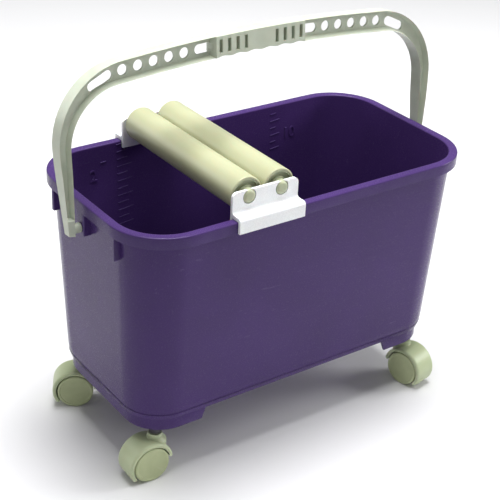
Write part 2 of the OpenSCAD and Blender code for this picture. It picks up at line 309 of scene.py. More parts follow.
def scuffsGroup():
    # short faint scratches in two directions, thinned out by a patchy mask
    group, start, end = newGroup(
        "scuffs",
        [("Vector", "NodeSocketVector", None), ("Scale", "NodeSocketFloat", 20.0),
         ("Amount", "NodeSocketFloat", 0.4)],
        [("Mask", "NodeSocketFloat")])
    lines = []
    for turn in ((0.3, 0.5, 0.2), (1.1, -0.4, 1.9)):
        slant = node(group, "ShaderNodeMapping", {
            "Vector": start.outputs["Vector"], "Rotation": turn, "Scale": (1.0, 14.0, 5.0)})
        noise = node(group, "ShaderNodeTexNoise", {
            "Vector": slant.outputs["Vector"], "Scale": start.outputs["Scale"],
            "Detail": 6.0, "Roughness": 0.7, "Distortion": 0.3})
        lines.append(node(group, "ShaderNodeMapRange", {
            "Value": noise.outputs["Fac"], "From Min": 0.63, "From Max": 0.74}).outputs["Result"])
    both = node(group, "ShaderNodeMath", {0: lines[0], 1: lines[1]}, operation="MAXIMUM")
    patch = node(group, "ShaderNodeTexNoise", {
        "Vector": start.outputs["Vector"], "Scale": 9.0, "Detail": 2.0})
    where = node(group, "ShaderNodeMapRange", {
        "Value": patch.outputs["Fac"], "From Min": 0.45, "From Max": 0.65})
    thin = node(group, "ShaderNodeMath", {0: both.outputs[0], 1: where.outputs["Result"]},
                operation="MULTIPLY")
    scaled = node(group, "ShaderNodeMath", {0: thin.outputs[0], 1: start.outputs["Amount"]},
                  operation="MULTIPLY")
    group.links.new(scaled.outputs[0], end.inputs["Mask"])
    return group


def edgeWearAndHighlightGroup():
    # convex edges painted paler, partly as rubbed wear and partly as a painted highlight along the
    # edge, broken up so that the line isn't even
    group, start, end = newGroup(
        "edgeWearAndHighlight",
        [("Vector", "NodeSocketVector", None), ("Amount", "NodeSocketFloat", 0.5)],
        [("Mask", "NodeSocketFloat")])
    shape = group.nodes.new("ShaderNodeNewGeometry")
    rubbedAndHighlight = node(group, "ShaderNodeMapRange", {
        "Value": shape.outputs["Pointiness"], "From Min": 0.52, "From Max": 0.62})
    broken = node(group, "ShaderNodeTexNoise", {
        "Vector": start.outputs["Vector"], "Scale": 60.0, "Detail": 4.0})
    patchy = node(group, "ShaderNodeMapRange", {
        "Value": broken.outputs["Fac"], "From Min": 0.35, "From Max": 0.65, "To Min": 0.35})
    both = node(group, "ShaderNodeMath", {0: rubbedAndHighlight.outputs["Result"], 1: patchy.outputs["Result"]},
                operation="MULTIPLY")
    scaled = node(group, "ShaderNodeMath", {0: both.outputs[0], 1: start.outputs["Amount"]},
                  operation="MULTIPLY")
    group.links.new(scaled.outputs[0], end.inputs["Mask"])
    return group


mottleGroup = softMottleGroup()
grainGroup = mouldGrainGroup()
scuffGroup = scuffsGroup()
wearAndHighlightGroup = edgeWearAndHighlightGroup()


def useGroup(tree, group, vector, **values):
    made = tree.nodes.new("ShaderNodeGroup")
    made.node_tree = group
    tree.links.new(vector, made.inputs["Vector"])
    for key, value in values.items():
        made.inputs[key].default_value = value
    return made


def mouldedPlastic(name, look):
    material = bpy.data.materials.new(name)
    material.use_nodes = True
    tree = material.node_tree
    shader = tree.nodes["Principled BSDF"]
    where = tree.nodes.new("ShaderNodeTexCoord").outputs["Object"]
    mottle = useGroup(tree, mottleGroup, where, Scale=look["mottleScale"], Amount=look["mottle"])
    grain = useGroup(tree, grainGroup, where, **{
        "Grain Scale": look["grainScale"], "Wave": look["wave"]})
    scuffs = useGroup(tree, scuffGroup, where, Scale=look["scuffScale"], Amount=look["scuffs"])
    # edge mask: convex edges painted paler, partly rubbed wear and partly a painted highlight; the
    # same pale colour also marks the scuffs
    wearAndHighlight = useGroup(tree, wearAndHighlightGroup, where, Amount=look["wearAndHighlight"])
    flow = mixColours(tree, mottle.outputs["Mask"], look["colour"], look["shade"])
    rubbedAndHighlight = mixColours(tree, wearAndHighlight.outputs["Mask"], flow, look["rubbedAndHighlight"])
    marked = mixColours(tree, scuffs.outputs["Mask"], rubbedAndHighlight, look["rubbedAndHighlight"])
    tree.links.new(marked, shader.inputs["Base Color"])
    sparkle = node(tree, "ShaderNodeMapRange", {
        "Value": grain.outputs["Speck"], "From Min": 0.3, "From Max": 0.7,
        "To Min": look["gloss"][0], "To Max": look["gloss"][1]})
    dulled = node(tree, "ShaderNodeMath", {
        0: scuffs.outputs["Mask"], 1: 0.5, 2: sparkle.outputs["Result"]}, operation="MULTIPLY_ADD")
    tree.links.new(dulled.outputs[0], shader.inputs["Roughness"])
    bump = node(tree, "ShaderNodeBump", {
        "Height": grain.outputs["Height"], "Strength": look["bump"], "Distance": 0.1 * mm})
    tree.links.new(bump.outputs["Normal"], shader.inputs["Normal"])
    shader.inputs["Subsurface Weight"].default_value = look["glow"]
    shader.inputs["Subsurface Scale"].default_value = 2 * mm
    shader.inputs["Specular IOR Level"].default_value = look["shine"]
    return material


plainLook = {
    "mottleScale": 7.0, "mottle": 0.7, "grainScale": 900.0, "wave": 2.0, "bump": 0.35,
    "scuffScale": 22.0, "scuffs": 0.25, "wearAndHighlight": 0.4, "gloss": (0.32, 0.46), "glow": 0.0,
    "shine": 0.5,
}
# rubbed: the pale colour for scuffs and for convex edges, where it is partly a painted highlight
looks = {
    "tub_plastic": {
        "colour": (0.056, 0.027, 0.128), "shade": (0.044, 0.022, 0.098),
        "rubbedAndHighlight": (0.16, 0.13, 0.27), "scuffs": 0.30, "wearAndHighlight": 0.55, "gloss": (0.20, 0.30),
        "shine": 0.16},
    "handle_plastic": {
        "colour": (0.47, 0.51, 0.41), "shade": (0.40, 0.44, 0.34), "rubbedAndHighlight": (0.62, 0.66, 0.56),
        "glow": 0.08},
    "bracket_plastic": {
        "colour": (0.86, 0.87, 0.88), "shade": (0.80, 0.82, 0.84), "rubbedAndHighlight": (0.93, 0.93, 0.93),
        "gloss": (0.22, 0.32), "scuffs": 0.15, "glow": 0.08},
    "roller_plastic": {
        "colour": (0.43, 0.44, 0.28), "shade": (0.36, 0.375, 0.22), "rubbedAndHighlight": (0.56, 0.57, 0.42),
        "gloss": (0.28, 0.38), "glow": 0.08},
    "plug_plastic": {
        "colour": (0.42, 0.45, 0.30), "shade": (0.35, 0.38, 0.24), "rubbedAndHighlight": (0.56, 0.59, 0.45),
        "glow": 0.08},
    "hood_plastic": {
        "colour": (0.47, 0.53, 0.33), "shade": (0.39, 0.45, 0.26), "rubbedAndHighlight": (0.62, 0.67, 0.50),
        "glow": 0.06, "wearAndHighlight": 0.6},
    "wheel_plastic": {
        "colour": (0.47, 0.52, 0.30), "shade": (0.39, 0.44, 0.24), "rubbedAndHighlight": (0.60, 0.64, 0.46),
        "mottleScale": 40.0, "scuffs": 0.6, "scuffScale": 50.0, "gloss": (0.42, 0.58)},
    "socket_plastic": {
        "colour": (0.020, 0.016, 0.026), "shade": (0.014, 0.012, 0.018),
        "rubbedAndHighlight": (0.08, 0.07, 0.09)},
}
finish = {name: mouldedPlastic(name, plainLook | look) for name, look in looks.items()}


def platedSteel(name):
    material = bpy.data.materials.new(name)
    material.use_nodes = True
    tree = material.node_tree
    shader = tree.nodes["Principled BSDF"]
    where = tree.nodes.new("ShaderNodeTexCoord").outputs["Object"]
    scuffs = useGroup(tree, scuffGroup, where, Scale=60.0, Amount=0.7)
    mottle = useGroup(tree, mottleGroup, where, Scale=120.0, Amount=0.8)
    tone = mixColours(tree, mottle.outputs["Mask"], (0.60, 0.60, 0.62), (0.48, 0.49, 0.52))
    tree.links.new(tone, shader.inputs["Base Color"])
    rough = node(tree, "ShaderNodeMapRange", {
        "Value": scuffs.outputs["Mask"], "To Min": 0.30, "To Max": 0.55})
    tree.links.new(rough.outputs["Result"], shader.inputs["Roughness"])
    shader.inputs["Metallic"].default_value = 1.0
    return material


finish["pin_steel"] = platedSteel("pin_steel")
print("finishes ready:", len(finish))


def finishPiece(obj, body, slot, *nodes):
    obj.data.materials.clear()
    obj.data.materials.append(finish[slot])
    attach(obj, body)
    if nodes:
        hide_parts(*nodes)


# tub: one shell drawn through rounded outlines, with its plinth, gussets and litre scale

tubLow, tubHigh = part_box("tub")
tub = {
    "rimRadius": 67 * mm, "band": 11 * mm, "rimOut": 7.5 * mm, "skirt": 14 * mm,
    "skirtWall": 2.5 * mm, "wall": 3 * mm, "draftLong": 10.5 * mm, "draftWide": 13.5 * mm,
    "floorRadius": 50.5 * mm, "footHeight": 22 * mm, "footInset": 5 * mm,
    "footGap": 264 * mm, "footSlant": 9 * mm, "cornerSteps": 14,
    "rimRound": 1.8 * mm, "floorRound": 9 * mm, "heelRound": 3 * mm, "skirtRound": 0.6 * mm,
    "footRound": 0.7 * mm, "ribIn": 10.7 * mm, "ribOut": 2 * mm, "gussetAt": 69 * mm,
    "gussetWide": 5 * mm, "gussetDrop": 42 * mm, "gussetRound": 0.8 * mm,
    "pivotDrop": 32 * mm, "bossWide": 16 * mm, "bossTall": 28 * mm, "bossUp": 5 * mm,
    "bossRound": 1.2 * mm,
    "studRadius": 5.1 * mm, "studHole": 8 * mm,
    "socketBoss": 10 * mm, "socketHole": 5.6 * mm, "socketDeep": 1.2 * mm, "webUp": 3 * mm,
}
rimX = tubHigh[0]
rimY = tubHigh[1]
rimZ = tubHigh[2]
footZ = tubLow[2]
floorZ = footZ + tub["footHeight"]


def onOutline(point, old, new):
    # the same place on another rounded outline; one is (half length, half width, radius, z)
    moved = []
    for axis in (0, 1):
        centre = math.copysign(old[axis] - old[2], point[axis])
        target = math.copysign(new[axis] - new[2], point[axis])
        moved.append(target + (point[axis] - centre) * new[2] / old[2])
    return Vector((*moved, new[3]))


def drawnThrough(name, outlines):
    # a closed shell that follows the outlines in turn
    halfX, halfY, radius, z = outlines[0]
    bpy.ops.mesh.primitive_plane_add(size=2, location=(0, 0, z))
    obj = bpy.context.object
    obj.name = name
    obj.scale = (halfX, halfY, 1)
    bpy.ops.object.transform_apply(location=True, rotation=True, scale=True)
    editAll(obj)
    bpy.ops.mesh.bevel(
        offset_type="ABSOLUTE", offset=radius, segments=tub["cornerSteps"], profile=0.5,
        affect="VERTICES")
    for old, new in zip(outlines, outlines[1:]):
        bpy.ops.mesh.extrude_region_move()
        shape = bmesh.from_edit_mesh(obj.data)
        for vertex in shape.verts:
            if vertex.select:
                vertex.co = onOutline(vertex.co, old, new)
        bmesh.update_edit_mesh(obj.data)
    leaveEdit()
    closeUp(obj)
    return obj


def roundLoop(obj, z, width, steps):
    # rounds the loops of edges at one height
    selectIn(obj, "edges", lambda e: all(abs(v.co.z - z) < tiny for v in e.verts))
    bpy.ops.mesh.bevel(offset=width, segments=steps, affect="EDGES", profile=0.5)
    leaveEdit()


def makeTubShell():
    top = (rimX - tub["rimOut"], rimY - tub["rimOut"], tub["rimRadius"] - tub["rimOut"])
    low = (top[0] - tub["draftLong"], top[1] - tub["draftWide"], tub["floorRadius"])
    wall = tub["wall"]
    hidden = rimX - tub["skirtWall"], rimY - tub["skirtWall"], tub["rimRadius"] - tub["skirtWall"]
    inner = rimX - tub["band"], rimY - tub["band"], tub["rimRadius"] - tub["band"]
    skirtZ = rimZ - tub["skirt"]
    share = wall / (rimZ - floorZ)
    under = [t - (t - l) * share for t, l in zip(top, low)]
    shell = drawnThrough("tub_shell", [
        (*low, floorZ), (*under, rimZ - wall), (*hidden, rimZ - wall), (*hidden, skirtZ),
        (rimX, rimY, tub["rimRadius"], skirtZ), (rimX, rimY, tub["rimRadius"], rimZ),
        (*inner, rimZ), (*[side - wall for side in low], floorZ + wall)])
    roundLoop(shell, floorZ, tub["heelRound"], 3)
    roundLoop(shell, floorZ + wall, tub["floorRound"], 5)
    roundLoop(shell, rimZ, tub["rimRound"], 4)
    roundLoop(shell, skirtZ, tub["skirtRound"], 2)
    return shell, low


def makePlinth(low):
    inset = tub["footInset"]
    wall = tub["wall"]
    outer = [side - inset for side in low]
    core = [side - wall for side in outer]
    plinth = drawnThrough("tub_plinth", [
        (*outer, floorZ + wall / 2), (*outer, footZ), (*core, footZ), (*core, floorZ + wall / 4)])
    roundLoop(plinth, footZ, tub["footRound"], 2)
    half = tub["footGap"] / 2
    slant = half + tub["footSlant"]
    gap = extrudedOutline(
        "foot_gap",
        [(-slant, -rimY, footZ - mm), (slant, -rimY, footZ - mm), (half, -rimY, floorZ),
         (-half, -rimY, floorZ)],
        (0, 2 * rimY, 0))
    cutFrom(plinth, gap)
    return plinth


cornerNames = ("front_left", "back_left", "front_right", "back_right")


def middle(name):
    low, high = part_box(name)
    return (Vector(low) + Vector(high)) / 2


def addTubRibs(shell):
    pivotZ = rimZ - tub["pivotDrop"]
    half = tub["gussetWide"] / 2
    for side in (-1, 1):
        inX, outX = side * (rimX - tub["ribIn"]), side * (rimX - tub["ribOut"])
        for y in (-tub["gussetAt"], tub["gussetAt"]):
            gusset = boxAt(
                (min(inX, outX), y - half, rimZ - tub["gussetDrop"]),
                (max(inX, outX), y + half, rimZ - tub["ribOut"]))
            roundEdges(gusset, tub["gussetRound"])
            addTo(shell, gusset)
        outX = side * rimX
        bossHalf = tub["bossWide"] / 2
        bossZ = pivotZ + tub["bossUp"]
        boss = boxAt(
            (min(inX, outX), -bossHalf, bossZ - tub["bossTall"] / 2),
            (max(inX, outX), bossHalf, bossZ + tub["bossTall"] / 2))
        roundEdges(boss, tub["bossRound"], steps=3)
        addTo(shell, boss)
        cutFrom(shell, rodAt(tub["studRadius"], (side * (rimX - tub["studHole"]), 0, pivotZ),
                             (side * (rimX + past), 0, pivotZ)))


def addSocketBosses(shell, low):
    wall = tub["wall"] / 2
    edgeX = low[0] - tub["footInset"] - wall
    edgeY = low[1] - tub["footInset"] - wall
    for corner in cornerNames:
        at = middle("caster_socket_" + corner)
        sideX, sideY = math.copysign(1, at.x), math.copysign(1, at.y)
        webX, webY = sorted((at.x, sideX * edgeX)), sorted((at.y, sideY * edgeY))
        webLow, webTop = footZ + tub["webUp"], floorZ + wall
        boss = rodAt(tub["socketBoss"], (at.x, at.y, footZ), (at.x, at.y, webTop))
        addTo(boss, boxAt((webX[0], at.y - wall, webLow), (webX[1], at.y + wall, webTop)))
        addTo(boss, boxAt((at.x - wall, webY[0], webLow), (at.x + wall, webY[1], webTop)))
        holeTop = floorZ + tub["socketDeep"]
        cutFrom(boss, rodAt(tub["socketHole"], (at.x, at.y, footZ - mm), (at.x, at.y, holeTop)))
        addTo(shell, boss)


scale = {
    "from": 222 * mm, "pitch": 9.6 * mm, "marks": 12, "thick": 1.3 * mm, "proud": 0.7 * mm,
    "left": -126 * mm, "long": 21 * mm, "short": 15 * mm, "slant": 6,
    "farLeft": 104 * mm, "farFrom": 272 * mm, "farMarks": 6, "farShort": 9 * mm,
    "dash": (-149 * mm, 8 * mm, 309 * mm), "round": 0.3 * mm,
    "numeralSize": 21 * mm, "numeralRound": 0.15 * mm,
    "numerals": [
        # figure, x, z
        ("2", -164 * mm, 288 * mm),
        ("1", -164 * mm, 238 * mm),
        ("10", 124 * mm, 284 * mm),
    ],
}


def onBackWall(obj, low):
    # laid flat in X and Z, then leaned and moved on to the inside of the back wall
    innerTop = rimY - tub["band"]
    innerLow = low[1] - tub["wall"]
    lean = math.atan2(innerTop - innerLow, rimZ - floorZ - tub["wall"])
    place(obj, (0, innerLow, floorZ + tub["wall"]), (-lean, 0, 0))


def makeLitreScale(low):
    base = floorZ + tub["wall"]
    bars = []

    def bar(left, length, z):
        made = boxAt(
            (left, -scale["proud"], z - base), (left + length, mm, z - base + scale["thick"]))
        centre = Vector((left, 0, z - base))
        turn = Matrix.Translation(centre) @ Matrix.Rotation(-math.radians(scale["slant"]), 4, "Y")
        made.matrix_world = turn @ Matrix.Translation(-centre)
        pickOnly(made)
        bpy.ops.object.transform_apply(location=True, rotation=True, scale=True)
        roundEdges(made, scale["round"])
        bars.append(made)

    for i in range(scale["marks"]):
        length = scale["long"] if i % 2 == 0 else scale["short"]
        bar(scale["left"], length, scale["from"] + i * scale["pitch"])
    for i in range(scale["farMarks"]):
        length = scale["short"] if i % 2 == 0 else scale["farShort"]
        bar(scale["farLeft"], length, scale["farFrom"] + i * scale["pitch"])
    bar(*scale["dash"])
    for numeral, x, z in scale["numerals"]:
        bpy.ops.object.text_add()
        made = bpy.context.object
        made.data.body = numeral
        made.data.size = scale["numeralSize"]
        made.data.extrude = scale["proud"]
        made.data.bevel_depth = scale["numeralRound"]
        bpy.ops.object.convert(target="MESH")
        made = bpy.context.object
        place(made, (x, 0, z - base), (math.pi / 2, 0, 0))
        closeUp(made)
        bars.append(made)
    pickOnly(*bars)
    bpy.ops.object.join()
    marks = bpy.context.object
    onBackWall(marks, low)
    return marks


tubShell, tubLowOutline = makeTubShell()
addTo(tubShell, makePlinth(tubLowOutline))
addTubRibs(tubShell)
addSocketBosses(tubShell, tubLowOutline)
litreMarks = makeLitreScale(tubLowOutline)
pickOnly(tubShell, litreMarks)
bpy.ops.object.join()
tubShell.name = "tub_moulding"
smooth(tubShell)
finishPiece(tubShell, "tub", "tub_plastic", "tub")
print("tub ready")


# handle: a bail drawn out station by station, with its channels, holes and grip

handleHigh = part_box("handle")[1]
bail = {
    "rise": 189 * mm, "depth": 24.5 * mm, "arc": 2.0, "bend": 88 * mm, "arm": 13.5 * mm,
    "tip": 7.5 * mm, "armTop": 86 * mm, "halfWide": 9 * mm, "tipHalfWide": 5.5 * mm,
    "rib": 3 * mm, "gripHalf": 62 * mm, "gripHalfWide": 10.5 * mm, "fingers": 21 * mm,
    "fingerDepth": 1.5 * mm, "lean": 5, "hub": 8 * mm, "edge": 0.9 * mm,
    "hubRadius": 5.8 * mm, "hubGap": 0.4 * mm, "hubDeep": 3 * mm, "hubRound": 0.8 * mm,
    "stud": 5 * mm, "studGap": 1 * mm,
    "gripSteps": 20, "barSteps": 10, "bendSteps": 16, "armSteps": 10,
    "bendTurn": 87, "bendWall": 8 * mm, "narrowFrom": 0.3,
    "tipOuter": 2 * mm, "tipInner": 0.5 * mm, "gripStep": 0.5 * mm, "channelIn": 0.6 * mm,
    "channelLow": 16 * mm, "toolWide": 30 * mm,
    "holeRadius": 6.25 * mm, "holeFirst": 99 * mm, "holePitch": 19.75 * mm, "holes": 5,
    # each end of the long holes: along the bar, or in from the arm's outer side, and its drop
    "longRadius": 5.75 * mm, "nearHole": (69 * mm, 80 * mm),
    "farHole": ((66 * mm, 11.0251 * mm), (47 * mm, 19.9165 * mm)),
    "slotWide": 4.5 * mm, "slotPitch": 11.5 * mm, "slots": 4, "slotDeep": 5 * mm,
    "slotFirst": 6 * mm, "slotRound": 0.6 * mm,
}
pivotHeight = rimZ - tub["pivotDrop"]
armOut = handleHigh[0]
armIn = armOut - bail["arm"]


def crown(x):
    # how far the crossbar has curved down at x
    return bail["arc"] - math.sqrt(bail["arc"] ** 2 - x * x)


def bailStations():
    # (outer x, outer z, inner x, inner z, half width) from the middle of the grip to the tip
    rise, depth, bend = bail["rise"], bail["depth"], bail["bend"]
    stations = []
    for i in range(bail["gripSteps"] + 1):
        x = bail["gripHalf"] * i / bail["gripSteps"]
        finger = bail["fingerDepth"] * (1 - math.cos(2 * math.pi * x / bail["fingers"])) / 2
        outer = rise - crown(x)
        stations.append((x, outer, x, outer - depth + finger, bail["gripHalfWide"]))
    x = bail["gripHalf"] + bail["gripStep"]
    barEnd = armOut - bend
    for i in range(bail["barSteps"]):
        at = x + (barEnd - x) * i / bail["barSteps"]
        outer = rise - crown(at)
        stations.append((at, outer, at, outer - depth, bail["halfWide"]))
    innerBend = bend - bail["arm"] - bail["bendWall"]
    outerC = (barEnd, rise - crown(barEnd) - bend)
    innerX = armIn - innerBend
    innerC = (innerX, rise - depth - crown(innerX) - innerBend)
    for i in range(bail["bendSteps"] + 1):
        angle = math.radians(bail["bendTurn"] * (1 - i / bail["bendSteps"]))
        stations.append((
            outerC[0] + bend * math.cos(angle), outerC[1] + bend * math.sin(angle),
            innerC[0] + innerBend * math.cos(angle), innerC[1] + innerBend * math.sin(angle),
            bail["halfWide"]))
    tipX = armIn + bail["tip"]
    tipZ = -bail["hub"]
    for i in range(1, bail["armSteps"] + 1):
        share = i / bail["armSteps"]
        narrow = max(0, share - bail["narrowFrom"]) / (1 - bail["narrowFrom"])
        half = bail["halfWide"] + (bail["tipHalfWide"] - bail["halfWide"]) * narrow
        outer = bail["armTop"] + (tipZ + bail["tipOuter"] - bail["armTop"]) * share
        inner = innerC[1] + (tipZ + bail["tipInner"] - innerC[1]) * share
        stations.append((armOut + (tipX - armOut) * share, outer, armIn, inner, half))
    return stations


def corners(station):
    outerX, outerZ, innerX, innerZ, half = station
    return [
        Vector((outerX, -half, outerZ)), Vector((outerX, half, outerZ)),
        Vector((innerX, half, innerZ)), Vector((innerX, -half, innerZ))]


def makeBailBar():
    stations = bailStations()
    ends = [corners(s) for s in stations]
    bar = outlineFace("handle_bail", ends[0])
    editAll(bar)
    for old, new in zip(ends, ends[1:]):
        drawOn(bar, old, new)
    leaveEdit()
    selectIn(bar, "faces", lambda f: all(abs(v.co.x) < tiny for v in f.verts))
    bpy.ops.mesh.delete(type="ONLY_FACE")
    leaveEdit()
    closeUp(bar)
    applyModifier(bar, "MIRROR", use_axis=(True, False, False), merge_threshold=tiny)
    closeUp(bar)
    gripEnd = bail["gripHalf"] + bail["channelIn"]

    def channel(face):
        centre = face.calc_center_median()
        upright = abs(face.normal.y) > 0.9
        return upright and abs(centre.x) > gripEnd and centre.z > bail["channelLow"]

    selectIn(bar, "faces", channel)
    bpy.ops.mesh.inset(thickness=bail["rib"], depth=-(bail["halfWide"] - bail["rib"] / 2))
    leaveEdit()
    return bar


def longHole(bar, start, end, radius):
    # hole with round ends, along Y
    wide = bail["toolWide"]
    for x, z in (start, end):
        cutFrom(bar, rodAt(radius, (x, -wide, z), (x, wide, z)))
    along = Vector((end[0] - start[0], 0, end[1] - start[1]))
    across = along.cross(Vector((0, 1, 0))).normalized() * radius
    a, b = Vector((start[0], -wide, start[1])), Vector((end[0], -wide, end[1]))
    cutFrom(bar, extrudedOutline(
        "long_hole", [a - across, b - across, b + across, a + across], (0, 2 * wide, 0)))


def cutBailHoles(bar):
    mid = bail["rise"] - bail["depth"] / 2
    wide = bail["toolWide"]
    radius = bail["holeRadius"]
    for side in (-1, 1):
        for i in range(bail["holes"]):
            x = bail["holeFirst"] + i * bail["holePitch"]
            z = mid - crown(x)
            cutFrom(bar, rodAt(radius, (side * x, -wide, z), (side * x, wide, z)))
        near = [(side * x, mid - crown(x)) for x in bail["nearHole"]]
        far = [(side * (armOut - x), mid - drop) for x, drop in bail["farHole"]]
        longHole(bar, *near, bail["longRadius"])
        longHole(bar, *far, bail["longRadius"])


def cutGripSlots(bar):
    mid = bail["rise"] - bail["depth"] / 2
    tall = bail["depth"] / 2 - 1.5 * bail["rib"]
    half = bail["slotWide"] / 2
    for side in (-1, 1):
        for face in (-1, 1):
            y = sorted((face * (bail["gripHalfWide"] - bail["slotDeep"]),
                        face * (bail["gripHalfWide"] + mm)))
            for i in range(bail["slots"]):
                x = side * (bail["gripHalf"] - bail["slotFirst"] - i * bail["slotPitch"])
                slot = boxAt((x - half, y[0], mid - tall), (x + half, y[1], mid + tall))
                roundEdges(slot, bail["slotRound"])
                cutFrom(bar, slot)


def addStuds(bar):
    # hub against the tub, with the stud that turns in the boss
    studIn = rimX - tub["studHole"] + bail["studGap"]
    hubIn = rimX + bail["hubGap"] - studIn
    hubOut = armIn + bail["hubDeep"] - studIn
    profile = filleted(
        [(0, 0), (bail["stud"], 0), (bail["stud"], hubIn), (bail["hubRadius"], hubIn),
         (bail["hubRadius"], hubOut), (0, hubOut)],
        [0, bail["hubRound"], 0, bail["hubRound"], 0, 0], steps=3)
    for side in (-1, 1):
        stud = turned("pivot_stud", profile, steps=40)
        place(stud, (side * studIn, 0, 0), (0, side * math.pi / 2, 0))
        addTo(bar, stud)


handleBar = makeBailBar()
cutBailHoles(handleBar)
roundEdges(handleBar, bail["edge"], steps=3, angle=40)
cutGripSlots(handleBar)
addStuds(handleBar)
place(handleBar, (0, 0, pivotHeight), (-math.radians(bail["lean"]), 0, 0))
handleBar.name = "handle_moulding"
smooth(handleBar)
finishPiece(handleBar, "handle", "handle_plastic", "handle")
print("handle ready")


# wringer brackets: a clip profile drawn along the rim, with keyhole slots for the journals

bracket = {
    "plate": 3.5 * mm, "web": 4.5 * mm, "gap": 0.4 * mm, "tongue": 8 * mm, "lip": 13 * mm,
    "journal": 8.6 * mm, "shoulder": 6 * mm, "edge": 0.6 * mm,
    "neck": 2.6 * mm, "mouth": 0.86, "rootRound": 3.5 * mm, "bendRound": 4 * mm,
}
rollerAxes = {side: middle(side + "_roller_tube") for side in ("left", "right")}


def makeBracket(name, nodeName, side):
    low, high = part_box(nodeName)
    plateIn = min(abs(low[1]), abs(high[1]))
    lipOut = max(abs(low[1]), abs(high[1]))
    plateOut = plateIn + bracket["plate"]
    lipIn = lipOut - bracket["plate"]
    webLow = rimZ + bracket["gap"]
    webTop = webLow + bracket["web"]
    topZ = high[2]
    points = [
        (plateIn, rimZ - bracket["tongue"]), (plateIn, topZ), (plateOut, topZ),
        (plateOut, webTop), (lipOut, webTop), (lipOut, rimZ - bracket["lip"]),
        (lipIn, rimZ - bracket["lip"]), (lipIn, webLow), (plateOut, webLow),
        (plateOut, rimZ - bracket["tongue"])]
    radii = [0, 0, 0, bracket["rootRound"], bracket["bendRound"], 0, 0, 0, 0, 0]
    section = [Vector((low[0], side * y, z)) for y, z in filleted(points, radii, 5)]
    obj = extrudedOutline(name, section, (high[0] - low[0], 0, 0))

    def shoulder(edge):
        a, b = (v.co for v in edge.verts)
        atTop = abs(a.z - topZ) < tiny and abs(b.z - topZ) < tiny
        return atTop and abs(a.x - b.x) < tiny

    selectIn(obj, "edges", shoulder)
    bpy.ops.mesh.bevel(offset=bracket["shoulder"], segments=4, affect="EDGES", profile=0.5)
    leaveEdit()
    for axis in rollerAxes.values():
        y0, y1 = sorted((side * (plateIn - past), side * (plateOut + past)))
        journal, neck = bracket["journal"], bracket["neck"]
        mouth = bracket["mouth"] * journal
        cutFrom(obj, rodAt(journal, (axis.x, y0, axis.z), (axis.x, y1, axis.z)))
        cutFrom(obj, extrudedOutline(
            "key_neck",
            [(axis.x - mouth, y0, axis.z + journal / 2), (axis.x + mouth, y0, axis.z + journal / 2),
             (axis.x + neck / 2, y0, topZ + mm), (axis.x - neck / 2, y0, topZ + mm)],
            (0, y1 - y0, 0)))
    roundEdges(obj, bracket["edge"], angle=40)
    smooth(obj)
    finishPiece(obj, "wringer", "bracket_plastic", nodeName)


makeBracket("bracket_clip_front", "wringer_bracket_front", -1)
makeBracket("bracket_clip_back", "wringer_bracket_back", 1)
print("brackets ready")


# rollers: tubes with a plug and a domed journal at each end

roller = {
    "wall": 2.5 * mm, "plugDeep": 12 * mm, "plugSet": 1 * mm, "journal": 8.5 * mm,
    "dome": 4.5 * mm, "journalOut": 7.8 * mm, "ringIn": 10.5 * mm, "ringOut": 16 * mm,
    "ringDeep": 3 * mm, "tubeRound": 1.2 * mm, "journalRoot": 0.3 * mm, "soft": 0.5 * mm,
    "faceRound": 0.4 * mm,
}


def makeRoller(side):
    low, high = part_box(side + "_roller_tube")
    centre = rollerAxes[side]
    radius = (high[2] - low[2]) / 2
    half = (high[1] - low[1]) / 2
    bore = radius - roller["wall"]
    soft = roller["soft"]
    tube = turned(side + "_roller_sleeve", filleted(
        [(bore, -half), (radius, -half), (radius, half), (bore, half)],
        [soft, roller["tubeRound"], roller["tubeRound"], soft]), steps=96, closed=True)
    place(tube, centre, (math.pi / 2, 0, 0))
    smooth(tube)
    finishPiece(tube, side + "_roller", "roller_plastic", side + "_roller_tube")
    face = half - roller["plugSet"]
    out = half + roller["journalOut"]
    back = half - roller["plugDeep"]
    profile = filleted(
        [(0, out), (roller["journal"], out), (roller["journal"], face), (roller["ringIn"], face),
         (roller["ringIn"], face - roller["ringDeep"]),
         (roller["ringOut"], face - roller["ringDeep"]), (roller["ringOut"], face),
         (bore, face), (bore, back), (0, back)],
        [0, roller["dome"], roller["journalRoot"], soft, soft, soft, soft, roller["faceRound"],
         soft, 0], steps=6)
    for end, sign in (("front", 1), ("back", -1)):
        plug = turned(side + "_roller_end_" + end, profile)
        place(plug, centre, (sign * math.pi / 2, 0, 0))
        smooth(plug)
        finishPiece(plug, side + "_roller", "plug_plastic", side + "_roller_plug_" + end)


for rollerSide in rollerAxes:
    makeRoller(rollerSide)
print("rollers ready")


# casters: modelled once on the swivel axis with the trail along X, then copied to each corner

caster = {
    "wheelRadius": 22.5 * mm, "wheelIn": 2.6 * mm, "wheelOut": 16.6 * mm, "trail": 12 * mm,
    "hoodInner": 24.1 * mm, "hoodOuter": 28.6 * mm, "web": 1.8 * mm, "underDrop": 6 * mm,
    "underTilt": 22, "neck": 8.5 * mm, "neckTop": 57.1 * mm, "stem": 3 * mm, "stemLow": 41.1 * mm,
    "axle": 2 * mm, "foot": 7 * mm, "crown": 3.2 * mm, "edge": 0.45 * mm,
    "flare": 5 * mm, "flareLow": 3.5 * mm, "flareTop": 1.5 * mm, "flareRound": 2 * mm,
    "neckRound": 1 * mm, "toolWide": 30 * mm,
    "run": 0.08 * mm, "hubWall": 3 * mm, "shell": 4 * mm, "cap": 2.8 * mm,
    "dish": 0.5 * mm, "dishEdge": 3.5 * mm, "lip": 3 * mm,
    "sleeve": 5.5 * mm, "stemGap": 0.1 * mm,
    # one radius for each corner of the turned outlines
    "wheelRounds": [
        0, 1 * mm, 0.4 * mm, 1.6 * mm, 1.4 * mm, 0.4 * mm, 1 * mm, 1 * mm, 0.4 * mm, 0, 0, 0],
    "socketRounds": [0.3 * mm, 0.9 * mm, 0.4 * mm, 0, 0.3 * mm, 0.3 * mm, 0],
}


